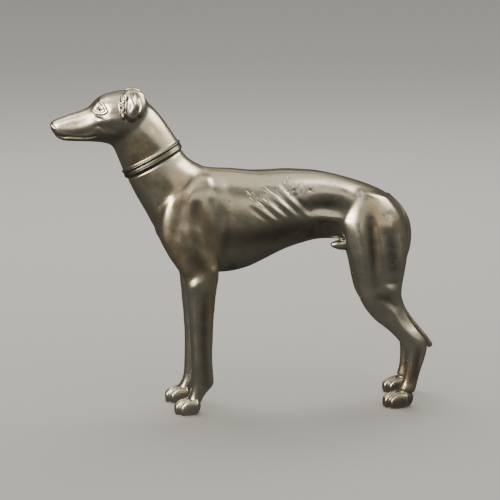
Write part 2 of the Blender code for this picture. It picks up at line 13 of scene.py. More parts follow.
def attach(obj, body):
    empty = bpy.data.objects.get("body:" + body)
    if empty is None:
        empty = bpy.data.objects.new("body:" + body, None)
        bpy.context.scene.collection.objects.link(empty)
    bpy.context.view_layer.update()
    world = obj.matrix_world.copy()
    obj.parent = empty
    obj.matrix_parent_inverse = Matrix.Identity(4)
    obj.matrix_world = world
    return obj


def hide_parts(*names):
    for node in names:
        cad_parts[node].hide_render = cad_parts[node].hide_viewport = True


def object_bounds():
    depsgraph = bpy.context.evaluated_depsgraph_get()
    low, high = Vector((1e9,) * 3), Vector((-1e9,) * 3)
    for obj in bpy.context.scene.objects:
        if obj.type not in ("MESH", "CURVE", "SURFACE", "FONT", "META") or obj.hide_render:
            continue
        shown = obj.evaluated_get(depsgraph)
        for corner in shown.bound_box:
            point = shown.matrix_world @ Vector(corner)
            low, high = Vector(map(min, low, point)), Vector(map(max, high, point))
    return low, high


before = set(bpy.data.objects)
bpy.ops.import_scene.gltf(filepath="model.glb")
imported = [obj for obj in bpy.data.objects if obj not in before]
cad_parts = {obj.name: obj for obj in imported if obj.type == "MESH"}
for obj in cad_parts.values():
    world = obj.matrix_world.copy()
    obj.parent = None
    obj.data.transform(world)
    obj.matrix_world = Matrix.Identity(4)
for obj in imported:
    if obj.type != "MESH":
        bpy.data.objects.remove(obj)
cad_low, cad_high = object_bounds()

# The figure's top and the ground, in the tables' units, and the length of one unit
FIGURE_TOP, GROUND = 100.07, 0.5
UNIT = cad_high.z / (FIGURE_TOP - GROUND)

# The collar's width, and how far it stands out from the neck
COLLAR_WIDTH = 0.0056
COLLAR_PROUD = 0.0009

# Grain of the skin while the body is blended and while it is carved
BODY_GRAIN = 0.55 * UNIT
SKIN_GRAIN = 0.18 * UNIT
# Triangles left in the finished cast: on the body, and on the head, paws and collar
BODY_TRIANGLES = 75000
FINE_TRIANGLES = 115000
# Seed of the random draws for hair and scratches
SEED = 7
# The muscles' strokes against the solid's: their height and width, and the share left at their ends
MUSCLE_SOFTENING, MUSCLE_SPREAD, MUSCLE_ENDS = 0.7, 1.5, 0.1

# Body sections: top x, z, bottom x, z, side offset y, half width, height of the widest point as a share
# of the section, roundness of the part above it and of the part below it (2 is an ellipse)
TRUNK = [
    (-26.0, 66.0, -27.6, 55.0, 0, 4.2, 0.50, 2.0, 2.0),
    (-22.9, 70.5, -25.5, 50.5, 0, 6.1, 0.50, 2.0, 2.0),
    (-19.0, 74.0, -22.0, 46.3, 0, 7.0, 0.50, 2.0, 1.9),
    (-14.5, 76.0, -17.0, 43.6, 0, 7.4, 0.50, 1.9, 1.8),
    (-10.0, 75.8, -11.5, 43.0, 0, 8.1, 0.49, 1.9, 1.75),
    (-5.0, 75.5, -5.5, 43.2, 0, 8.7, 0.48, 2.0, 1.7),
    (0.5, 74.9, 0.0, 44.4, 0, 9.0, 0.48, 2.1, 1.65),
    (6.0, 74.8, 6.0, 47.1, 0, 9.0, 0.47, 2.2, 1.6),
    (11.5, 75.0, 11.5, 49.7, 0, 8.6, 0.45, 2.3, 1.55),
    (17.0, 74.7, 17.0, 51.5, 0, 7.8, 0.42, 2.4, 1.5),
    (22.0, 74.2, 22.0, 52.6, 0, 7.1, 0.38, 2.5, 1.45),
    (27.0, 73.1, 26.5, 52.7, 0, 6.9, 0.40, 2.5, 1.5),
    (32.5, 71.5, 31.0, 52.0, 0, 7.3, 0.50, 2.4, 1.7),
    (38.5, 69.4, 36.0, 51.0, 0, 7.9, 0.58, 2.3, 1.9),
    (43.5, 66.9, 40.5, 50.0, 0, 7.7, 0.58, 2.2, 2.0),
    (47.3, 63.4, 44.5, 49.5, 0, 6.2, 0.55, 2.0, 2.0),
    (49.6, 59.0, 47.5, 50.5, 0, 3.6, 0.50, 2.0, 2.0),
]
NECK = [
    (-9.0, 73.5, -23.2, 52.6, 0, 6.4, 0.50, 2.0, 2.0),
    (-13.0, 76.0, -28.4, 57.4, 0, 6.5, 0.50, 2.0, 2.0),
    (-16.5, 77.8, -31.5, 63.0, 0, 6.2, 0.50, 2.0, 2.0),
    (-18.7, 79.5, -34.3, 68.0, 0, 5.8, 0.50, 2.0, 2.0),
    (-20.0, 81.5, -36.4, 72.3, 0, 5.5, 0.50, 2.1, 2.1),
    (-21.3, 84.5, -37.9, 75.3, 0, 5.2, 0.50, 2.1, 2.1),
    (-23.3, 87.6, -39.2, 78.6, 0, 5.0, 0.50, 2.1, 2.1),
    (-25.5, 90.9, -40.2, 81.1, 0, 4.8, 0.50, 2.1, 2.1),
    (-28.5, 94.5, -41.0, 83.0, 0, 4.6, 0.50, 2.0, 2.0),
    (-31.0, 96.5, -41.5, 86.0, 0, 4.2, 0.50, 2.0, 2.0),
]
HEAD = [
    (-29.9, 95.5, -31.0, 90.0, 0, 3.0, 0.50, 2.0, 2.0),
    (-31.3, 98.0, -32.8, 87.0, 0, 4.5, 0.52, 2.0, 2.0),
    (-33.8, 99.2, -35.5, 84.8, 0, 5.2, 0.55, 2.0, 2.2),
    (-37.0, 99.7, -38.5, 83.4, 0, 5.5, 0.57, 2.0, 2.2),
    (-40.5, 99.3, -41.3, 83.2, 0, 5.3, 0.58, 2.0, 2.2),
    (-43.6, 98.4, -44.0, 83.9, 0, 4.7, 0.58, 2.1, 2.2),
    (-45.9, 97.0, -46.0, 84.1, 0, 4.0, 0.56, 2.2, 2.2),
    (-47.6, 95.1, -47.8, 84.2, 0, 3.5, 0.50, 2.2, 2.3),
    (-50.0, 93.9, -50.2, 84.3, 0, 3.1, 0.48, 2.2, 2.4),
    (-53.5, 92.8, -53.7, 84.5, 0, 2.75, 0.47, 2.2, 2.4),
    (-56.6, 91.7, -56.4, 84.9, 0, 2.4, 0.48, 2.2, 2.3),
    (-58.5, 91.0, -58.0, 86.0, 0, 2.1, 0.50, 2.2, 2.2),
    (-59.3, 90.4, -59.0, 87.6, 0, 1.6, 0.50, 2.0, 2.0),
]

# Leg sections: front x, z, rear x, z, side offset y, half width
FORE_LEG = [
    (-16.8, 73.2, -11.5, 73.6, 3.6, 1.6),
    (-23.2, 69.6, -9.4, 69.0, 4.5, 2.7),
    (-26.4, 64.5, -9.0, 63.0, 5.1, 3.1),
    (-27.4, 59.5, -9.2, 57.5, 5.5, 3.3),
    (-27.2, 55.0, -9.4, 52.5, 5.9, 3.3),
    (-25.5, 50.5, -9.5, 48.8, 6.4, 3.2),
    (-22.9, 46.5, -9.4, 45.5, 6.8, 3.0),
    (-20.6, 42.8, -9.6, 42.5, 7.1, 2.85),
    (-19.9, 38.5, -10.3, 38.5, 7.2, 2.7),
    (-19.5, 34.0, -10.8, 34.0, 7.25, 2.6),
    (-19.0, 29.0, -11.2, 29.0, 7.3, 2.45),
    (-18.6, 23.0, -11.5, 23.0, 7.3, 2.3),
    (-18.4, 17.0, -11.6, 17.0, 7.3, 2.2),
    (-18.3, 12.5, -11.4, 12.5, 7.3, 2.15),
    (-18.2, 10.2, -11.2, 9.4, 7.3, 2.1),
    (-18.4, 8.0, -13.4, 6.9, 7.3, 1.95),
    (-19.1, 6.0, -14.8, 4.9, 7.3, 2.1),
    (-20.2, 4.0, -15.6, 3.0, 7.3, 2.3),
]
HIND_LEG = [
    (33.0, 68.5, 43.5, 66.0, 4.6, 2.8),
    (30.5, 64.0, 47.0, 61.0, 5.2, 3.5),
    (28.9, 59.0, 48.7, 56.0, 5.6, 3.9),
    (29.3, 54.4, 49.3, 51.2, 6.0, 4.0),
    (30.5, 49.6, 49.1, 46.8, 6.4, 3.8),
    (31.8, 44.6, 48.4, 42.6, 6.7, 3.5),
    (32.8, 39.6, 47.7, 38.6, 7.0, 3.1),
    (34.3, 34.3, 47.4, 35.0, 7.2, 2.75),
    (36.4, 30.8, 47.8, 32.3, 7.4, 2.4),
    (39.2, 27.7, 49.1, 29.6, 7.7, 2.1),
    (42.3, 25.3, 51.0, 26.7, 8.0, 1.9),
    (45.3, 22.4, 53.1, 24.0, 8.3, 1.75),
    (47.6, 19.5, 55.3, 21.2, 8.5, 1.75),
    (48.7, 16.5, 55.6, 18.6, 8.6, 1.7),
    (48.6, 13.4, 54.6, 14.6, 8.6, 1.6),
    (48.2, 10.5, 53.4, 11.0, 8.6, 1.6),
    (47.5, 8.0, 52.6, 7.6, 8.6, 1.8),
    (46.4, 6.0, 51.9, 4.8, 8.6, 2.2),
]

# Paw sections from heel to toes, as on the body
FORE_PAW = [
    (-15.8, 3.8, -16.7, 0.4, 7.3, 1.4),
    (-17.2, 5.0, -17.4, 0.0, 7.3, 2.2),
    (-19.2, 5.1, -19.2, -0.1, 7.3, 2.4),
    (-20.6, 3.6, -20.8, 0.0, 7.3, 2.2),
]
HIND_PAW = [
    (51.1, 4.2, 49.7, 0.4, 8.6, 1.4),
    (49.9, 5.6, 48.8, 0.0, 8.6, 2.1),
    (47.0, 5.6, 47.0, -0.1, 8.6, 2.4),
    (45.0, 3.6, 44.8, 0.0, 8.6, 2.2),
]

# One toe, from its knuckle: top x, z, bottom x, z, with x running back from the toe's tip
TOE = [
    (5.6, 4.9, 5.6, 1.0),
    (3.8, 5.05, 3.8, 0.2),
    (2.1, 4.6, 2.1, 0.0),
    (0.9, 3.7, 1.0, 0.2),
]
TOE_HALF_WIDTH = 0.92
# Side offset of each toe from the paw's middle, and how far its tip stays behind the foremost tip
TOES = [(-2.35, 1.6), (-0.84, 0.0), (0.84, 0.1), (2.35, 1.7)]
FORE_TIP = (-24.0, 7.3)
HIND_TIP = (41.3, 8.6)

# The tail's line down the middle, x, z and radius
TAIL = [
    (43.5, 65.5, 1.6),
    (47.2, 61.6, 1.7),
    (49.6, 57.6, 1.6),
    (50.4, 54.0, 1.45),
    (50.3, 50.0, 1.3),
    (49.4, 46.0, 1.15),
    (48.5, 42.0, 1.1),
    (48.0, 38.0, 1.05),
    (48.0, 34.5, 1.0),
    (49.1, 30.6, 0.95),
    (51.5, 26.6, 0.95),
    (54.5, 22.9, 0.9),
    (57.0, 19.8, 0.95),
    (58.4, 17.7, 1.05),
]
SHEATH = [
    (26.6, 51.4, 26.6, 50.0, 0, 0.8),
    (27.7, 51.9, 28.0, 49.3, 0, 1.25),
    (30.0, 52.4, 30.4, 48.9, 0, 1.5),
    (33.5, 53.0, 33.5, 49.0, 0, 1.7),
]

# The ear, folded back against the skull: centre x, y, z and half sizes of its tuft, front and rear lobes
EAR_LOBES = [
    ((-38.0, 4.7, 94.9), (0.95, 1.1, 3.8)),
    ((-35.3, 4.9, 94.8), (2.4, 1.6, 4.3)),
    ((-32.9, 4.5, 95.3), (2.1, 1.4, 3.4)),
    ((-34.6, 4.0, 97.5), (3.4, 1.3, 2.7)),
]
EAR_LEAN = 11

# The collar's middle line on the side view, from the nape to the throat
COLLAR_NAPE = (-20.9, 83.0)
COLLAR_THROAT = (-36.9, 74.5)
# Beads and grooves along the band: upper edge 1 or lower -1, how far in from it, half width, and rise
COLLAR_LINES = [
    (1, 0.45, 0.45, 0.18),
    (1, 1.0, 0.45, -0.12),
    (-1, 0.5, 0.45, 0.08),
    (-1, -0.5, 0.5, -0.15),
]
# Half the collar's width, half the width of its edges' slope, and its reach off the neck's middle
COLLAR_HALF, COLLAR_SLOPE, COLLAR_REACH = COLLAR_WIDTH / UNIT / 2, 0.4, 12

# Relief seen from the side: path of x, z points, half width of the stroke, and how far it stands out
SHOULDER = [
    ([(-15.2, 74.5), (-18.4, 72.3), (-20.2, 69.5), (-21.6, 66.2), (-23.2, 62.0), (-24.4, 58.0)], 1.8, -0.3),
    ([(-20.6, 71.0), (-22.8, 67.0), (-24.6, 62.5), (-25.6, 57.0)], 2.6, 0.5),
    ([(-29.4, 67.6), (-28.5, 63.2), (-27.9, 58.3)], 1.2, 0.4),
    ([(-15.6, 72.5), (-17.8, 67.5), (-20.4, 61.0)], 1.8, 0.1),
    ([(-14.8, 67.0), (-13.2, 62.5), (-12.4, 56.5), (-11.4, 50.5)], 1.7, 0.5),
    ([(-11.4, 68.0), (-9.9, 61.0), (-9.0, 53.0)], 1.8, -0.5),
    ([(-16.2, 67.0), (-16.4, 61.5), (-15.9, 57.0)], 1.6, -0.45),
    ([(-20.6, 60.0), (-20.2, 55.5), (-19.6, 51.0)], 2.4, 0.55),
    ([(-11.4, 75.0), (-10.2, 70.5), (-9.8, 62.0)], 3.0, 0.9),
    ([(-32.9, 89.6), (-31.1, 87.4), (-29.4, 84.9), (-27.9, 81.8)], 1.8, 0.4),
]
FLANK = [
    ([(19.0, 70.6), (26.0, 70.4), (31.5, 69.2)], 2.8, 0.2),
    ([(15.5, 64.6), (24.0, 63.8), (33.0, 63.0)], 3.0, -0.8),
    ([(17.0, 60.3), (22.3, 61.0), (25.7, 60.1), (28.2, 58.9), (30.2, 56.6)], 1.5, 0.6),
    ([(20.0, 57.8), (25.0, 57.4), (28.0, 55.4)], 2.0, -0.4),
    ([(32.8, 70.2), (33.8, 67.0)], 2.2, -0.2),
]
THIGH = [
    ([(32.5, 60.8), (34.0, 53.0), (35.4, 46.0), (36.4, 40.0)], 2.1, 0.65),
    ([(36.4, 61.5), (37.0, 54.0), (37.9, 46.0), (38.4, 38.5)], 2.0, -0.9),
    ([(38.8, 62.0), (39.4, 54.0), (40.2, 46.0), (40.9, 39.5)], 1.6, 0.65),
    ([(43.2, 54.0), (43.9, 48.0), (44.4, 41.0)], 2.1, -0.9),
    ([(40.0, 59.8), (42.6, 57.6), (45.2, 55.0)], 2.4, 0.5),
    ([(40.0, 38.5), (43.2, 37.6), (46.2, 37.0)], 1.8, 0.75),
    ([(39.0, 36.6), (42.3, 35.2), (44.6, 33.4), (46.6, 31.0)], 1.7, -0.55),
]
SHANK = [
    ([(41.6, 33.2), (44.6, 30.8), (46.3, 27.8), (48.0, 25.0), (50.2, 22.3), (52.0, 20.2)], 1.1, 0.45),
    ([(46.0, 31.6), (47.6, 28.9), (49.6, 26.4), (51.8, 24.2)], 1.4, -0.6),
    ([(52.6, 18.6), (52.3, 14.5), (51.7, 10.0)], 0.8, -0.4),
]
FOREARM = [
    ([(-20.4, 42.0), (-18.4, 43.2), (-16.2, 44.7), (-14.0, 45.4)], 1.8, -0.5),
    ([(-19.0, 38.6), (-17.4, 40.4), (-15.6, 42.9)], 1.5, 0.5),
    ([(-13.8, 39.0), (-14.3, 32.0), (-14.5, 24.0), (-13.7, 14.0)], 1.3, -0.45),
    ([(-10.9, 46.6), (-11.0, 43.4)], 1.3, 0.3),
]
RELIEF = [*SHOULDER, *FLANK, *THIGH, *SHANK, *FOREARM]

# Ribs that show as slanting ridges behind the chest: the first one's ends, the step to the next, how many
RIB_START, RIB_END = (1.4, 65.0), (8.0, 59.6)
RIB_START_STEP, RIB_END_STEP = (2.4, 1.7), (3.1, 0.6)
RIBS = 4
RIB_HALF_WIDTH, RIB_RISE, RIB_SINK = 1.25, 0.15, -0.2

# The legs of the right side stand a little off those of the left, along x, at the paw and higher up
FORE_STAGGER = (-1.6, -0.2)
HIND_STAGGER = (3.6, 1.2)
STAGGER_FROM, STAGGER_FADE = 5, 9
# The shift grows with the side offset, and fades out round the height where the legs meet the body
STAGGER_SIDE = (1.2, 4.0)
FORE_LEG_TOP, HIND_LEG_TOP = 46, 52
STAGGER_BELOW, STAGGER_ABOVE = 8, 10
# The fore legs lie before this x, and the hind legs behind that
FORE_LEGS_END, HIND_LEGS_START = 5, 25

# Parts of the side view that are treated apart: lowest and highest x, lowest and highest z
FINE_HEAD = (-70, -29, 82, 110)
CARVED_HEAD = (-70, -29.5, 83.5, 110)
ROUND_COLLAR = (-40, -18, 70, 88)
SCRATCHED = (-4, 12, 63, 73)
# Top of the paws, and the side offset beyond which the skin of the scratched patch is finer
PAW_TOP, SCRATCHED_SIDE = 7.5, -3

# Finer carving than the solid's, in the same form: path of x, z points, half width, and rise
EYE = [
    ([(-46.4, 94.6), (-43.2, 94.3)], 1.9, -0.4),
    ([(-45.1, 94.75), (-44.6, 94.75)], 1.1, 0.7),
    ([(-47.1, 93.9), (-45.9, 93.4), (-44.7, 93.2), (-43.8, 93.2), (-42.9, 93.6)], 0.65, 0.22),
    ([(-46.9, 94.0), (-46.1, 95.3), (-45.0, 96.2), (-44.3, 96.2), (-43.6, 95.2), (-42.8, 93.9)], 0.65, 0.24),
    ([(-44.9, 97.2), (-43.6, 97.0)], 0.8, 0.2),
    ([(-46.3, 92.3), (-45.5, 91.7), (-44.2, 91.5)], 0.7, -0.13),
]
MUZZLE = [
    ([(-56.4, 88.0), (-52.3, 88.2), (-48.7, 89.2), (-46.3, 90.2)], 1.8, 0.25),
    ([(-58.2, 86.7), (-56.4, 86.05), (-53.8, 85.9), (-47.8, 85.8), (-46.1, 86.2)], 0.5, -0.5),
    ([(-57.8, 87.5), (-54.0, 86.7), (-48.0, 86.6), (-46.3, 87.1)], 0.7, 0.12),
    ([(-46.3, 89.2), (-45.1, 89.5), (-43.9, 88.5), (-42.7, 87.3)], 0.8, -0.2),
    ([(-43.7, 89.3), (-41.3, 88.1), (-38.9, 87.7)], 1.4, -0.22),
    ([(-59.1, 89.9), (-58.7, 89.3), (-58.1, 89.0)], 0.4, -0.25),
    ([(-43.9, 91.0), (-41.0, 91.2), (-39.0, 91.2)], 2.0, 0.3),
]
EAR = [
    ([(-36.2, 98.2), (-35.2, 97.0), (-34.6, 95.7), (-34.7, 94.7), (-35.3, 93.6)], 1.0, 0.3),
    ([(-34.0, 98.8), (-33.4, 97.0), (-33.0, 95.5), (-33.4, 93.9), (-34.6, 92.4)], 0.7, -0.28),
    ([(-37.0, 98.2), (-37.1, 95.0), (-37.4, 93.1), (-37.2, 91.0)], 0.6, -0.2),
    ([(-38.6, 96.8), (-38.6, 95.9)], 0.5, -0.5),
    ([(-37.7, 96.8), (-37.4, 96.5)], 0.5, 0.3),
    ([(-38.0, 92.6), (-37.9, 91.6)], 0.5, 0.35),
]
# The tuft of hair before the ear: the line that it hangs along, and the number and shape of its locks
TUFT_TOP, TUFT_BOTTOM = (-38.2, 96.4), (-38.3, 92.2)
LOCKS, LOCK_STRAY, LOCK_LENGTH = 12, 0.5, 1.4
LOCK_BEND, LOCK_HALF_WIDTH, LOCK_RISE = 0.25, 0.4, 0.1

LEG_LINES = [
    ([(-12.0, 38.0), (-12.4, 30.0), (-12.5, 22.0), (-12.3, 13.0)], 0.8, 0.25),
    ([(-16.6, 40.0), (-17.2, 32.0), (-17.1, 22.0), (-16.8, 12.0)], 1.2, 0.2),
    ([(50.4, 17.6), (50.2, 13.5), (49.7, 9.0)], 0.7, 0.3),
    ([(54.3, 18.8), (53.3, 14.0), (52.6, 9.5)], 0.6, 0.25),
]

# Fine lines that were scratched into the wax where the ribs start: how many, and where
SCRATCHES, SCRATCH_FROM, SCRATCH_TO = 16, (-1.5, 66.0), (9.5, 70.5)
SCRATCH_STEP, SCRATCH_LENGTHS = (1.7, -1.5), (0.6, 1.6)
SCRATCH_HALF_WIDTH, SCRATCH_SINK = 0.22, -0.1

# Pits in the cast's back: x, z, half width and depth
PITS = [
    (13.4, 69.1, 1.0, -0.3),
    (14.0, 67.8, 0.7, -0.22),
    (18.6, 69.0, 0.85, -0.28),
    (11.9, 72.7, 0.35, -0.18),
    (11.1, 71.5, 0.35, -0.18),
    (19.6, 68.4, 0.3, -0.15),
    (-6.4, 66.2, 0.3, -0.14),
    (-27.6, 65.0, 0.3, -0.14),
]
# Patches where the silvering is worn or flaked: x, z, half width along x, half height, and strength
WORN = [
    (43.6, 51.0, 4.0, 7.0, 1.0),
    (43.4, 61.2, 4.6, 2.6, 0.8),
    (34.6, 67.3, 2.4, 3.4, 0.9),
    (14.5, 69.2, 7.0, 3.2, 0.75),
    (27.0, 71.5, 6.0, 2.5, 0.5),
    (48.5, 5.0, 5.0, 5.0, 0.7),
    (-20.0, 4.0, 5.0, 4.5, 0.45),
    (-36.6, 93.0, 3.0, 5.0, 0.5),
    (46.0, 30.0, 5.0, 4.0, 0.4),
]

# Dark tarnish with painted shade and painted dark reflections in the broad hollows, on the legs and low on
# the flanks: path, half width and strength
TARNISH_AND_SHADE_STROKES = [
    ([(16.0, 65.0), (24.0, 64.4), (31.5, 63.8)], 3.2, 1.0),
    ([(-14.8, 75.0), (-18.4, 72.3), (-20.4, 67.8), (-22.2, 62.5), (-22.8, 58.0)], 2.0, 0.8),
    ([(-16.8, 66.0), (-17.2, 60.0), (-16.2, 52.0)], 2.6, 0.6),
    ([(36.6, 61.5), (37.2, 54.0), (37.9, 46.0), (38.4, 40.0)], 2.2, 0.9),
    ([(43.2, 55.5), (43.9, 48.0), (44.4, 41.0)], 2.8, 0.9),
    ([(39.0, 36.0), (42.3, 34.6), (45.0, 32.4)], 1.6, 0.8),
    ([(-7.0, 55.0), (4.0, 55.5), (14.0, 57.0), (24.0, 56.4)], 5.0, 0.9),
    ([(-8.5, 66.0), (-7.6, 58.0), (-8.0, 50.0)], 2.5, 0.5),
    ([(-18.0, 51.0), (-14.5, 46.5)], 3.4, 0.8),
    ([(-14.3, 38.0), (-14.6, 24.0), (-13.9, 10.0)], 2.0, 0.8),
    ([(52.2, 19.0), (51.6, 10.0)], 1.6, 0.7),
    ([(42.5, 2.4), (47.0, 3.0), (51.5, 3.6)], 3.2, 0.7),
    ([(-45.5, 86.6), (-41.0, 86.2), (-37.0, 87.4)], 2.4, 0.7),
    ([(-38.4, 84.0), (-35.0, 79.5), (-32.5, 76.0)], 4.2, 0.5),
    ([(-36.8, 92.0), (-35.0, 91.4), (-33.2, 92.6)], 1.3, 0.8),
    ([(-37.2, 98.0), (-36.8, 95.2), (-36.6, 92.8)], 1.4, 0.75),
    ([(-33.4, 97.2), (-32.8, 95.2), (-33.6, 93.0)], 0.9, 0.6),
    ([(-37.6, 98.8), (-35.0, 99.0), (-33.6, 98.2)], 0.8, 0.7),
]
# Warm brown tints along the shoulder's rear edge, the thigh and the flank's fold: path, half width, strength
WARM = [
    ([(-14.6, 70.0), (-13.4, 65.0), (-13.0, 58.0), (-11.6, 49.0), (-12.0, 42.0), (-12.6, 30.0)], 1.8, 0.9),
    ([(37.0, 66.0), (38.6, 60.0), (38.8, 52.0), (39.6, 44.0)], 2.2, 0.9),
    ([(17.0, 60.8), (22.0, 60.2), (27.0, 59.2), (30.0, 56.0)], 1.8, 0.7),
    ([(-22.0, 76.0), (-19.5, 73.0)], 3.0, 0.8),
    ([(-28.0, 90.0), (-24.0, 84.5)], 3.0, 0.7),
    ([(53.0, 21.0), (53.4, 14.0)], 1.2, 0.6),
]


def spread(rows, spacing):
    """Rows about this far apart, on a smooth curve through the given rows."""
    rows = np.array(rows, float)
    middle = (rows[:, 0:2] + rows[:, 2:4]) / 2
    steps = np.linalg.norm(np.diff(middle, axis=0), axis=1)
    along = np.concatenate([[0.0], np.cumsum(steps)])
    slope = np.gradient(rows, along, axis=0)
    at = np.linspace(0, along[-1], max(2, round(along[-1] / spacing)) + 1)
    i = np.clip(np.searchsorted(along, at, side="right") - 1, 0, len(along) - 2)
    gap = (along[i + 1] - along[i])[:, None]
    t = (at - along[i])[:, None] / gap
    return (
        (2 * t**3 - 3 * t**2 + 1) * rows[i]
        + (t**3 - 2 * t**2 + t) * gap * slope[i]
        + (3 * t**2 - 2 * t**3) * rows[i + 1]
        + (t**3 - t**2) * gap * slope[i + 1]
    )


def section(row, sides):
    """The points of one section, in the tables' units."""
    ax, az, bx, bz, y, half_width, widest, above, below = row
    angle = np.arange(sides) * 2 * math.pi / sides
    c, s = np.cos(angle), np.sin(angle)
    power = np.where(s >= 0, above, below)
    out = np.sign(c) * np.abs(c) ** (2 / power) * half_width
    rise = np.abs(s) ** (2 / power)
    height = np.where(s >= 0, widest + (1 - widest) * rise, widest * (1 - rise))
    return np.stack([bx + (ax - bx) * height, y + out, bz + (az - bz) * height], axis=1)


def loft(rows, cap=0.8, sides=40, spacing=0.8):
    """A closed skin through sections, with rounded ends that stand out by cap: its points and faces."""
    rows = spread([tuple(r) + (0.5, 2.15, 2.15) if len(r) == 6 else r for r in rows], spacing)
    rings = [section(row, sides) for row in rows]
    cap_steps = 4
    for end, beside in ((0, 1), (-1, -2)):
        ring, inner = rings[end], rings[beside]
        centre = ring.mean(axis=0)
        outwards = centre - inner.mean(axis=0)
        outwards /= np.linalg.norm(outwards)
        dome = [
            centre + outwards * cap * math.sin(a) + (ring - centre) * math.cos(a)
            for a in (math.pi / 2 * k / cap_steps for k in range(1, cap_steps))
        ]
        tip = centre + outwards * cap
        if end == 0:
            rings = dome[::-1] + rings
            first_tip = tip
        else:
            rings = rings + dome
    points = np.concatenate([*rings, first_tip[None], tip[None]])
    faces = []
    for r in range(len(rings) - 1):
        for k in range(sides):
            n = (k + 1) % sides
            faces.append((r * sides + k, r * sides + n, (r + 1) * sides + n, (r + 1) * sides + k))
    last = (len(rings) - 1) * sides
    for k in range(sides):
        n = (k + 1) % sides
        faces.append((len(points) - 2, n, k))
        faces.append((len(points) - 1, last + k, last + n))
    return points, faces


def both_sides(shape):
    """A shape of the right side, and its mirror image on the left."""
    points, faces = shape
    mirrored = points * np.array([1, -1, 1])
    return [(points, faces), (mirrored, [tuple(reversed(f)) for f in faces])]


def toes(tip):
    """The four toes of a paw whose foremost tip is at x, y."""
    shapes = []
    for aside, behind in TOES:
        rows = [
            (ax + tip[0] + behind, az, bx + tip[0] + behind, bz, tip[1] + aside, TOE_HALF_WIDTH)
            for ax, az, bx, bz in TOE
        ]
        shapes.append(loft(rows, cap=0.6, sides=20, spacing=0.5))
    return shapes


def tail():
    """The tail as a loft whose sections are square to its line."""
    line = np.array(TAIL)
    way = np.gradient(line[:, :2], axis=0)
    way /= np.linalg.norm(way, axis=1)[:, None]
    rows = []
    for (x, z, radius), (dx, dz) in zip(line, way):
        rows.append((x - dz * radius, z + dx * radius, x + dz * radius, z - dx * radius, 0, radius))
    return loft(rows, cap=0.9, sides=20)


def ear_lobe(centre, half):
    """One lobe of the right ear, leaning in towards the crown."""
    mesh = bmesh.new()
    bmesh.ops.create_uvsphere(mesh, u_segments=28, v_segments=18, radius=1)
    lean = Matrix.Rotation(math.radians(EAR_LEAN), 4, "X")
    bmesh.ops.transform(
        mesh,
        matrix=Matrix.Translation(centre) @ lean @ Matrix.Diagonal((*half, 1)),
        verts=mesh.verts,
    )
    points = np.array([v.co for v in mesh.verts])
    faces = [tuple(v.index for v in f.verts) for f in mesh.faces]
    mesh.free()
    return points, faces


def body_shapes():
    """The trunk, neck, head and legs, which blend into each other."""
    shapes = [loft(TRUNK, cap=1.5), loft(NECK), loft(HEAD, cap=0.5)]
    for rows in (FORE_LEG, HIND_LEG):
        shapes += both_sides(loft(rows))
    return shapes


def added_shapes():
    """The tail, sheath, paws and ears, which keep sharper edges."""
    shapes = [tail(), loft(SHEATH, cap=0.4, sides=20)]
    for rows in (FORE_PAW, HIND_PAW):
        shapes += both_sides(loft(rows))
    for tip in (FORE_TIP, HIND_TIP):
        for toe in toes(tip):
            shapes += both_sides(toe)
    for centre, half in EAR_LOBES:
        shapes += both_sides(ear_lobe(centre, half))
    return shapes


def joined(shapes, name):
    """Shapes, drawn in the tables' units, as one mesh at real size."""
    points, faces, start = [], [], 0
    for some, theirs in shapes:
        points.append(some)
        faces += [tuple(start + i for i in f) for f in theirs]
        start += len(some)
    mesh = bpy.data.meshes.new(name)
    mesh.from_pydata((np.concatenate(points) * UNIT).tolist(), [], faces)
    return mesh


def evaluated(obj, kind, **settings):
    """The mesh that an object has under one modifier of this kind."""
    modifier = obj.modifiers.new(kind.title(), kind)
    for name, value in settings.items():
        setattr(modifier, name, value)
    graph = bpy.context.evaluated_depsgraph_get()
    mesh = bpy.data.meshes.new_from_object(obj.evaluated_get(graph))
    obj.modifiers.clear()
    return mesh


def coordinates(mesh):
    """The mesh's points in the tables' units, and their normals."""
    points = np.zeros(len(mesh.vertices) * 3)
    normals = np.zeros(len(mesh.vertices) * 3)
    mesh.vertices.foreach_get("co", points)
    mesh.vertices.foreach_get("normal", normals)
    return points.reshape(-1, 3) / UNIT, normals.reshape(-1, 3)


def store(mesh, points):
    """Moves the mesh's points to these, in the tables' units."""
    mesh.vertices.foreach_set("co", (points * UNIT).ravel())
    mesh.update()


def neighbours(mesh):
    """The points at either end of each edge, and how many neighbours each point has."""
    ends = np.zeros(len(mesh.edges) * 2, int)
    mesh.edges.foreach_get("vertices", ends)
    a, b = ends.reshape(-1, 2).T
    return a, b, np.bincount(ends, minlength=len(mesh.vertices))


def relax(mesh, rounds, keep=0.0):
    """Smooths the skin. keep is how much of the shrinking is given back after each round."""
    points, _ = coordinates(mesh)
    a, b, count = neighbours(mesh)
    for _ in range(rounds):
        for amount in (0.5, -0.5 * keep):
            if amount == 0:
                continue
            total = np.zeros_like(points)
            for axis in range(3):
                total[:, axis] = np.bincount(a, points[b, axis], len(points))
                total[:, axis] += np.bincount(b, points[a, axis], len(points))
            points += amount * (total / count[:, None] - points)
    store(mesh, points)


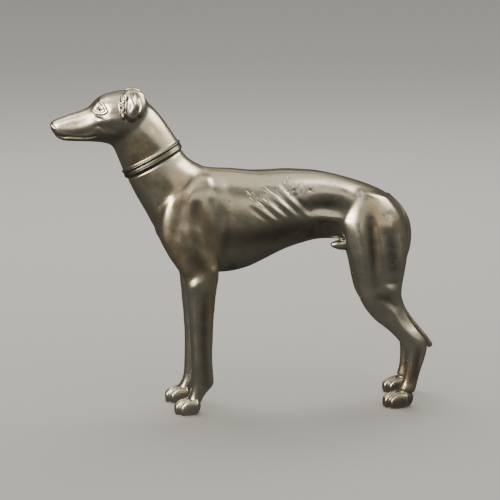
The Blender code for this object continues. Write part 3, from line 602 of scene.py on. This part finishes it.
def stroke(points, path, half_width, rise, ends=0.4):
    """Height that a stroke along a path on the side view gives to each point. ends is its share there."""
    line = spread([(x, z, x, z) for x, z in path], 0.5)[:, :2]
    low, high = line.min(axis=0) - half_width, line.max(axis=0) + half_width
    side = points[:, [0, 2]]
    near = np.where(((side > low) & (side < high)).all(axis=1))[0]
    least = np.full(len(near), np.inf)
    share = np.zeros(len(near))
    for k, (start, end) in enumerate(zip(line[:-1], line[1:])):
        step = end - start
        t = np.clip((side[near] - start) @ step / max(step @ step, 1e-9), 0, 1)
        gap = np.linalg.norm(side[near] - start - t[:, None] * step, axis=1)
        closer = gap < least
        least[closer] = gap[closer]
        share[closer] = (k + t[closer]) / (len(line) - 1)
    across = np.clip(1 - (least / half_width) ** 2, 0, 1) ** 2
    height = np.zeros(len(points))
    height[near] = rise * across * (ends + (1 - ends) * np.sin(math.pi * share))
    return height


def rib_strokes():
    """The ridge of each rib, with a groove before each and one after the last."""
    strokes = []
    for step in range(2 * RIBS + 1):
        start = np.array(RIB_START) + np.array(RIB_START_STEP) * (step - 1) / 2
        end = np.array(RIB_END) + np.array(RIB_END_STEP) * (step - 1) / 2
        rise = RIB_RISE if step % 2 else RIB_SINK
        strokes.append(([tuple(start), tuple((start + end) / 2), tuple(end)], RIB_HALF_WIDTH, rise))
    return strokes


def ramp(value, start, end):
    """0 before start, 1 after end, and smooth between them."""
    t = np.clip((value - start) / (end - start), 0, 1)
    return t * t * (3 - 2 * t)


def stagger(mesh):
    """Sets the right legs a little before or behind the left ones."""
    points, _ = coordinates(mesh)
    x, y, z = points.T
    right = ramp(y, *STAGGER_SIDE)
    for (at_paw, at_top), here, top in (
        (FORE_STAGGER, x < FORE_LEGS_END, FORE_LEG_TOP),
        (HIND_STAGGER, x > HIND_LEGS_START, HIND_LEG_TOP),
    ):
        share = 1 - np.exp(-np.clip(z - STAGGER_FROM, 0, None) / STAGGER_FADE)
        shift = at_paw + (at_top - at_paw) * share
        on_leg = 1 - ramp(z, top - STAGGER_BELOW, top + STAGGER_ABOVE)
        x[here] += (shift * right * on_leg)[here]
    store(mesh, np.stack([x, y, z], axis=1))


def flatten_soles(mesh):
    """Cuts the paws flat at the ground, and closes the cuts."""
    work = bmesh.new()
    work.from_mesh(mesh)
    cut = bmesh.ops.bisect_plane(
        work,
        geom=[*work.verts, *work.edges, *work.faces],
        plane_co=(0, 0, GROUND * UNIT),
        plane_no=(0, 0, -1),
        clear_outer=True,
    )
    rim = [g for g in cut["geom_cut"] if isinstance(g, bmesh.types.BMEdge)]
    bmesh.ops.holes_fill(work, edges=rim, sides=0)
    bmesh.ops.triangulate(work, faces=work.faces[:])
    bmesh.ops.recalc_face_normals(work, faces=work.faces[:])
    work.to_mesh(mesh)
    work.free()


def triangle_count(mesh, chosen=None):
    """Triangles of the mesh, or of its faces whose first point is chosen."""
    return sum(len(f.vertices) - 2 for f in mesh.polygons if chosen is None or chosen[f.vertices[0]])


def thin_out(obj, chosen, triangles):
    """Thins the chosen part of the skin until the whole of it has this many triangles."""
    group = obj.vertex_groups.new(name="chosen")
    group.add(np.where(chosen)[0].tolist(), 1.0, "REPLACE")
    ratio = triangles / triangle_count(obj.data)
    obj.data = evaluated(obj, "DECIMATE", ratio=ratio, vertex_group=group.name)
    obj.vertex_groups.clear()


def inside(points, box):
    """Which points lie in a box on the side view."""
    x, _, z = points.T
    return (x > box[0]) & (x < box[1]) & (z > box[2]) & (z < box[3])


def hair_strokes(seed):
    """The locks of the tuft, in turn raised and sunk."""
    random = np.random.default_rng(seed)
    top, bottom = np.array(TUFT_TOP), np.array(TUFT_BOTTOM)
    strokes = []
    for k in range(LOCKS):
        start = top + (bottom - top) * random.random() + random.uniform(-LOCK_STRAY, LOCK_STRAY, 2)
        end = start + random.normal(0, LOCK_BEND, 2) - (0, LOCK_LENGTH * random.uniform(0.5, 1))
        middle = (start + end) / 2 + random.normal(0, LOCK_BEND, 2)
        rise = LOCK_RISE if k % 2 else -LOCK_RISE
        strokes.append(([tuple(start), tuple(middle), tuple(end)], LOCK_HALF_WIDTH, rise))
    return strokes


def scratch_strokes(seed):
    """Thin slanting lines over the upper ends of the ribs."""
    random = np.random.default_rng(seed)
    strokes = []
    for _ in range(SCRATCHES):
        start = random.uniform(SCRATCH_FROM, SCRATCH_TO)
        end = start + np.array(SCRATCH_STEP) * random.uniform(*SCRATCH_LENGTHS)
        strokes.append(([tuple(start), tuple(end)], SCRATCH_HALF_WIDTH, SCRATCH_SINK))
    return strokes


def pit_strokes():
    """Each pit as a very short stroke that runs in."""
    reach = 0.2
    return [([(x - reach, z), (x + reach, z + reach)], half, depth) for x, z, half, depth in PITS]


def along_collar(points):
    """How far up the neck from the collar's middle each point is, and how far off the neck's middle."""
    nape, throat = np.array(COLLAR_NAPE), np.array(COLLAR_THROAT)
    across = (nape - throat) / np.linalg.norm(nape - throat)
    up_the_neck = np.array([-across[1], across[0]])
    off_middle = points[:, [0, 2]] - (nape + throat) / 2
    return off_middle @ up_the_neck, off_middle @ across


def collar_height(points):
    """Height of the collar over the neck, with its beads and grooves."""
    up, off = along_collar(points)
    proud = COLLAR_PROUD / UNIT
    band = ramp(COLLAR_HALF - np.abs(up), -COLLAR_SLOPE, COLLAR_SLOPE) * proud
    for edge, inwards, half_width, rise in COLLAR_LINES:
        place = edge * (COLLAR_HALF - inwards)
        band += rise * np.clip(1 - ((up - place) / half_width) ** 2, 0, 1) ** 2
    return np.where(np.abs(off) < COLLAR_REACH, band, 0)


def on_collar(points):
    """Which points are on the collar or right beside it."""
    up, _ = along_collar(points)
    return (np.abs(up) < COLLAR_HALF + 1) & inside(points, ROUND_COLLAR)


def fine_zone(mesh):
    """Which points are on the head, a paw or the collar, where the skin stays finer."""
    points, _ = coordinates(mesh)
    return inside(points, FINE_HEAD) | (points[:, 2] < PAW_TOP) | on_collar(points)


def halve_grain(mesh):
    """Cuts each face of the head, the collar and the scratched patch in four."""
    points, _ = coordinates(mesh)
    scratched = inside(points, SCRATCHED) & (points[:, 1] < SCRATCHED_SIDE)
    chosen = inside(points, CARVED_HEAD) | on_collar(points) | scratched
    work = bmesh.new()
    work.from_mesh(mesh)
    edges = [e for e in work.edges if chosen[e.verts[0].index] and chosen[e.verts[1].index]]
    bmesh.ops.subdivide_edges(work, edges=edges, cuts=1, use_grid_fill=True)
    work.to_mesh(mesh)
    work.free()


# How fast the carving fades where the skin turns away from the side
SIDE_GAIN, SIDE_CUT = 1.6, 0.2


def carve(mesh):
    """Cuts the muscles, ribs, face and ears into both sides, the wear into the left, and the collar."""
    points, normals = coordinates(mesh)
    height = sum(
        stroke(points, path, half * MUSCLE_SPREAD, rise * MUSCLE_SOFTENING, MUSCLE_ENDS)
        for path, half, rise in RELIEF
    )
    fine = [*EYE, *MUZZLE, *EAR, *LEG_LINES, *rib_strokes(), *hair_strokes(SEED)]
    height += sum(stroke(points, *drawn) for drawn in fine)
    # Full height where the skin faces outwards, none where it faces up, down or the other leg
    outer = np.clip(normals[:, 1] * np.sign(points[:, 1]) * SIDE_GAIN - SIDE_CUT, 0, 1)
    near = sum(stroke(points, *drawn) for drawn in [*scratch_strokes(SEED), *pit_strokes()])
    left = (points[:, 1] < 0) * outer
    height = height * outer + near * left + collar_height(points)
    store(mesh, points + normals * height[:, None])


def keep(mesh, name, values):
    """Stores one number for each point of the mesh, for its material to read."""
    layer = mesh.attributes.get(name) or mesh.attributes.new(name, "FLOAT", "POINT")
    layer.data.foreach_set("value", np.ascontiguousarray(values, dtype=np.float32))


def blurred(mesh, values, rounds):
    """The values with each point's own averaged with those of its neighbours, round by round."""
    a, b, count = neighbours(mesh)
    for _ in range(rounds):
        total = np.bincount(a, values[b], len(values)) + np.bincount(b, values[a], len(values))
        values = (values + total / count) / 2
    return values


# Rounds of smoothing that bring out the creases and the broad forms, and the scales of their depths
CREASE_ROUNDS, FORM_ROUNDS, MARK_BLUR = 12, 100, 4
CREASE_SCALE, HEAD_CREASE_SCALE, FORM_SCALE = 7.0, 3.0, 1.6
# Where the other marks fade in: collar's edge, downward slope and height on the body for the painted shade
# underneath, and patch's rim
COLLAR_FADE, UNDERSIDE_SHADE_FADE, BODY_FADE, PATCH_FADE = (-0.35, 0.3), (0.1, 0.85), (30, 45), (-1.2, -0.3)
# Share that the tarnish and painted shade strokes keep at their ends, and the scale of the pits' depth
STROKED_SHADE_ENDS, PIT_SCALE = 0.6, 5


def mark_surface(mesh):
    """Marks creases, broad hollows, the collar, undersides as painted shade, wear, tints, tarnish with
    painted shade, and pits on the skin.
    """
    points, normals = coordinates(mesh)
    copy = mesh.copy()
    crease_scale = np.where(inside(points, CARVED_HEAD), HEAD_CREASE_SCALE, CREASE_SCALE)
    # How far the skin lies under its own smoothed copy
    for name, rounds, scale in (("crease", CREASE_ROUNDS, crease_scale), ("form", FORM_ROUNDS, FORM_SCALE)):
        relax(copy, rounds)
        smooth, _ = coordinates(copy)
        depth = ((smooth - points) * normals).sum(axis=1)
        keep(mesh, name, blurred(mesh, np.clip(depth * scale, -1, 1), MARK_BLUR))
    bpy.data.meshes.remove(copy)
    x, y, z = points.T
    up, _ = along_collar(points)
    collar = ramp(COLLAR_HALF - np.abs(up), *COLLAR_FADE)
    keep(mesh, "collar", np.where(inside(points, ROUND_COLLAR), collar, 0))
    # Painted shade: the skin that faces down, high enough on the body, takes the tarnish colour
    keep(mesh, "painted_underside_shade", ramp(-normals[:, 2], *UNDERSIDE_SHADE_FADE) * ramp(z, *BODY_FADE))
    worn = np.zeros(len(points))
    for px, pz, half_x, half_z, strength in WORN:
        gap = np.hypot((x - px) / half_x, (z - pz) / half_z)
        worn = np.maximum(worn, strength * ramp(-gap, *PATCH_FADE))
    keep(mesh, "worn", worn)
    keep(mesh, "warm", sum(stroke(points, *drawn) for drawn in WARM))
    # Painted shade and tarnish along the listed strokes
    keep(mesh, "stroked_tarnish_and_shade", np.clip(sum(stroke(points, *drawn, STROKED_SHADE_ENDS) for drawn in TARNISH_AND_SHADE_STROKES), 0, 1))
    pitted = sum(stroke(points, *drawn) for drawn in pit_strokes())
    keep(mesh, "pit", np.clip(-pitted * PIT_SCALE * (y < 0), 0, 1))


def centre_on_frame(mesh):
    """Puts the figure where the solid is."""
    points, _ = coordinates(mesh)
    middle = (points.min(axis=0) + points.max(axis=0)) / 2 * UNIT
    target = (cad_low + cad_high) / 2
    mesh.transform(Matrix.Translation((target.x - middle[0], target.y - middle[1], -GROUND * UNIT)))


def greyhound_cast():
    """The whole statue as one closed skin, at a fine grain."""
    obj = bpy.data.objects.new("greyhound_cast", joined(body_shapes(), "body"))
    bpy.context.scene.collection.objects.link(obj)
    obj.data = evaluated(obj, "REMESH", mode="VOXEL", voxel_size=BODY_GRAIN)
    relax(obj.data, 10, keep=0.45)
    obj.data = evaluated(obj, "SUBSURF", levels=1, render_levels=1)

    points, _ = coordinates(obj.data)
    faces = [tuple(f.vertices) for f in obj.data.polygons]
    obj.data = joined([(points, faces), *added_shapes()], "figure")
    obj.data = evaluated(obj, "REMESH", mode="VOXEL", voxel_size=SKIN_GRAIN)
    relax(obj.data, 10, keep=0.7)
    halve_grain(obj.data)
    relax(obj.data, 3, keep=0.7)
    carve(obj.data)
    relax(obj.data, 3, keep=0.5)
    mark_surface(obj.data)
    stagger(obj.data)

    fine = fine_zone(obj.data)
    kept = triangle_count(obj.data, fine)
    thin_out(obj, ~fine, kept + BODY_TRIANGLES)
    thin_out(obj, fine_zone(obj.data), FINE_TRIANGLES + BODY_TRIANGLES)
    relax(obj.data, 1)
    flatten_soles(obj.data)
    centre_on_frame(obj.data)
    obj.data.name = "greyhound_cast"
    obj.data.shade_smooth()
    return obj


class Nodes:
    """Adds linked shader nodes to a material in few words."""

    def __init__(self, material):
        material.use_nodes = True
        self.tree = material.node_tree
        self.shader = self.tree.nodes["Principled BSDF"]
        self.place = self.tree.nodes.new("ShaderNodeTexCoord").outputs["Object"]

    def add(self, kind, inputs, **settings):
        """A new node, with its inputs linked or set."""
        made = self.tree.nodes.new("ShaderNode" + kind)
        for name, value in settings.items():
            setattr(made, name, value)
        for name, value in inputs.items():
            if isinstance(value, bpy.types.NodeSocket):
                self.tree.links.new(value, made.inputs[name])
            else:
                made.inputs[name].default_value = value
        return made

    def noise(self, size, detail, roughness=0.55):
        """Noise from 0 to 1 whose lumps are about this many metres across."""
        inputs = {"Vector": self.place, "Scale": 1 / size, "Detail": detail, "Roughness": roughness}
        return self.add("TexNoise", inputs).outputs["Fac"]

    def marked(self, name):
        """A mark stored on the mesh."""
        return self.add("Attribute", {}, attribute_name=name).outputs["Fac"]

    def between(self, value, low, high, to_low=0.0, to_high=1.0):
        """Moves a value from one range to another, smoothly and clamped."""
        inputs = {"Value": value, "From Min": low, "From Max": high, "To Min": to_low, "To Max": to_high}
        return self.add("MapRange", inputs, interpolation_type="SMOOTHSTEP").outputs["Result"]

    def plus(self, a, b):
        """The sum of two values, from 0 to 1."""
        return self.add("Math", {0: a, 1: b}, operation="ADD", use_clamp=True).outputs["Value"]

    def times(self, a, b):
        return self.add("Math", {0: a, 1: b}, operation="MULTIPLY").outputs["Value"]

    def mix(self, share, a, b):
        """Mixes two colours by share."""
        made = self.add("Mix", {}, data_type="RGBA")
        for slot, value in ((0, share), (6, a), (7, b)):
            if isinstance(value, bpy.types.NodeSocket):
                self.tree.links.new(value, made.inputs[slot])
            else:
                made.inputs[slot].default_value = value if slot == 0 else (*value, 1)
        return made.outputs[2]


# Colours of the silvering, the tarnish and painted shade over it and what shows through
SILVER = (0.62, 0.575, 0.43)
WARM_SILVER = (0.58, 0.455, 0.29)
# Tarnish, which also paints the shade under the body
TARNISH_AND_UNDERSIDE_SHADE = (0.20, 0.19, 0.14)
# Deep tarnish, which also paints the shade in the hollows, on the legs and low on the flanks
DEEP_TARNISH_AND_SHADE = (0.085, 0.08, 0.062)
BARE_METAL = (0.11, 0.115, 0.115)
# Near black, for darkening the creases
CREASE_DARK_COLOUR = (0.045, 0.038, 0.028)
RUST = (0.13, 0.075, 0.035)


def worn_silver():
    """Old silvered metal: warm and cool tints, dark hollows, rubbed ridges, flaked and pitted patches, and
    painted shade under the body, on the legs and low on the flanks.
    """
    material = bpy.data.materials.new("worn_silver")
    n = Nodes(material)
    crease, form = n.marked("crease"), n.marked("form")
    broad = n.noise(0.035, 4)
    cloudy = n.noise(0.012, 5, 0.6)
    speckle = n.noise(0.0022, 6, 0.7)
    fine = n.noise(0.0006, 3, 0.6)

    warm = n.plus(n.between(broad, 0.42, 0.7), n.marked("warm"))
    colour = n.mix(warm, SILVER, WARM_SILVER)
    # Tarnish from cloudy noise, broad hollows and the collar, and painted shade where the skin faces down
    tarnish_and_underside_shade = n.times(n.between(cloudy, 0.45, 0.75), 0.45)
    tarnish_and_underside_shade = n.plus(tarnish_and_underside_shade, n.between(form, 0.1, 0.8, 0, 0.4))
    tarnish_and_underside_shade = n.plus(tarnish_and_underside_shade, n.times(n.marked("painted_underside_shade"), 0.75))
    tarnish_and_underside_shade = n.plus(tarnish_and_underside_shade, n.times(n.marked("collar"), 0.85))
    colour = n.mix(tarnish_and_underside_shade, colour, TARNISH_AND_UNDERSIDE_SHADE)
    # Painted shade and tarnish along the strokes, and tarnish on the collar
    stroked_tarnish_and_shade = n.plus(n.marked("stroked_tarnish_and_shade"), n.times(n.marked("collar"), 0.5))
    colour = n.mix(n.times(stroked_tarnish_and_shade, 0.75), colour, DEEP_TARNISH_AND_SHADE)
    flaked = n.times(n.between(speckle, 0.42, 0.54), n.between(n.marked("worn"), 0.1, 0.9))
    colour = n.mix(n.times(flaked, 0.85), colour, BARE_METAL)
    rubbed = n.between(crease, -0.1, -0.7)
    colour = n.mix(n.times(rubbed, 0.6), colour, SILVER)
    # Darker in the creases, where the skin lies under its smoothed copy
    crease_dark = n.between(crease, 0.15, 0.9)
    colour = n.mix(n.times(crease_dark, 0.75), colour, CREASE_DARK_COLOUR)
    colour = n.mix(n.marked("pit"), colour, RUST)
    n.tree.links.new(colour, n.shader.inputs["Base Color"])

    rough = n.between(cloudy, 0.3, 0.75, 0.22, 0.35)
    rough = n.plus(rough, n.times(tarnish_and_underside_shade, 0.08))
    rough = n.plus(rough, n.times(flaked, 0.25))
    rough = n.plus(rough, n.times(crease_dark, 0.35))
    n.tree.links.new(rough, n.shader.inputs["Roughness"])
    n.shader.inputs["Metallic"].default_value = 1

    dents = {"Height": n.noise(0.013, 2, 0.4), "Strength": 0.12, "Distance": 0.0003}
    normal = n.add("Bump", dents).outputs["Normal"]
    for height, strength, distance in ((speckle, 0.1, 0.00008), (fine, 0.15, 0.00003)):
        grain = {"Height": height, "Strength": strength, "Distance": distance, "Normal": normal}
        normal = n.add("Bump", grain).outputs["Normal"]
    n.tree.links.new(normal, n.shader.inputs["Normal"])
    return material


def aim(obj, place, target):
    """Sets an object at a place, facing the target."""
    obj.location = place
    obj.rotation_euler = (Vector(target) - Vector(place)).to_track_quat("-Z", "Y").to_euler()


def around(target, azimuth, elevation, distance):
    """The place at this distance from the target. Azimuth 0 is towards -Y, and 90 towards +X."""
    a, e = math.radians(azimuth), math.radians(elevation)
    way = Vector((math.sin(a) * math.cos(e), -math.cos(a) * math.cos(e), math.sin(e)))
    return Vector(target) + way * distance


LAMP_COLOUR = (1, 0.96, 0.89)


def softbox(name, place, target, size, radiance, lit):
    """A soft lamp of width and height size that lights only the things in the collection lit."""
    data = bpy.data.lights.new(name, "AREA")
    data.shape = "RECTANGLE"
    data.size, data.size_y = size
    data.energy = radiance * math.pi * size[0] * size[1]
    data.color = LAMP_COLOUR
    lamp = bpy.data.objects.new(name, data)
    bpy.context.scene.collection.objects.link(lamp)
    lamp.visible_camera = False
    lamp.light_linking.receiver_collection = lit
    aim(lamp, place, target)


# The floor, a hair below the soles
FLOOR_RADIUS, FLOOR_DROP = 14, 0.0002
FLOOR_COLOUR, FLOOR_ROUGHNESS = (0.62, 0.61, 0.585), 0.85


def pale_floor():
    """A wide pale disc that the metal doesn't mirror."""
    mesh = bpy.data.meshes.new("floor")
    work = bmesh.new()
    bmesh.ops.create_circle(work, cap_ends=True, segments=96, radius=FLOOR_RADIUS)
    work.to_mesh(mesh)
    work.free()
    floor = bpy.data.objects.new("floor", mesh)
    floor.location.z = -FLOOR_DROP
    bpy.context.scene.collection.objects.link(floor)
    material = bpy.data.materials.new("pale_floor")
    material.use_nodes = True
    shader = material.node_tree.nodes["Principled BSDF"]
    shader.inputs["Base Color"].default_value = (*FLOOR_COLOUR, 1)
    shader.inputs["Roughness"].default_value = FLOOR_ROUGHNESS
    mesh.materials.append(material)
    floor.visible_glossy = False
    return floor


def only(obj):
    """A collection that holds this object alone, for the lamps that light nothing else."""
    collection = bpy.data.collections.new(obj.name + "_only")
    collection.objects.link(obj)
    return collection


# Softboxes round the statue: azimuth and elevation in degrees, distance, size and brightness
STATUE_LAMPS = {
    "key": (-44, 27, 1.3, (0.6, 0.7), 15),
    "high": (-80, 60, 1.3, (0.8, 0.6), 2.4),
    "side": (68, 42, 1.4, (1.2, 0.7), 6.5),
    "front": (22, 20, 1.6, (1.5, 0.5), 0.9),
    "top": (10, 76, 1.5, (2.0, 1.6), 0.9),
    "rear": (175, 55, 1.5, (1.4, 0.6), 0.5),
}
# Lamps over the floor: place, the point below that it faces, size and brightness
FLOOR_LAMPS = {
    "pool": ((0, 0.7, 1.4), (0, 0.35, 0), (1.4, 1.0), 3.2),
    "overhead": ((0, 0, 8), (0, 0, 0), (22, 22), 0.72),
}
ROOM_COLOUR, ROOM_STRENGTH = (0.80, 0.82, 0.85), 0.13


def studio(statue, floor):
    """A dim room, softboxes on the statue and soft lamps over the floor."""
    world = bpy.data.worlds.new("studio")
    world.use_nodes = True
    background = world.node_tree.nodes["Background"]
    background.inputs["Color"].default_value = (*ROOM_COLOUR, 1)
    background.inputs["Strength"].default_value = ROOM_STRENGTH
    bpy.context.scene.world = world
    statue_only, floor_only = only(statue), only(floor)
    middle = (0, 0, cad_high.z / 2)
    for name, (azimuth, elevation, distance, size, radiance) in STATUE_LAMPS.items():
        softbox(name, around(middle, azimuth, elevation, distance), middle, size, radiance, statue_only)
    for name, (place, target, size, radiance) in FLOOR_LAMPS.items():
        softbox(name, place, target, size, radiance, floor_only)


# The photograph's view: its angles in degrees, distance, the point that it looks at, lens and sensor in mm
CAMERA_AZIMUTH, CAMERA_ELEVATION = -8, 11
CAMERA_DISTANCE = 1.1055
CAMERA_TARGET = (0.00216, 0, 0.1051)
LENS, SENSOR = 120.7, 36


def camera():
    """The camera at the photograph's place."""
    data = bpy.data.cameras.new("camera")
    data.lens, data.sensor_width = LENS, SENSOR
    obj = bpy.data.objects.new("camera", data)
    bpy.context.scene.collection.objects.link(obj)
    aim(obj, around(CAMERA_TARGET, CAMERA_AZIMUTH, CAMERA_ELEVATION, CAMERA_DISTANCE), CAMERA_TARGET)
    bpy.context.scene.camera = obj


camera()
floor = pale_floor()
cast = greyhound_cast()
cast.data.materials.clear()
cast.data.materials.append(worn_silver())
studio(cast, floor)
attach(cast, "root")
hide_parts("greyhound")
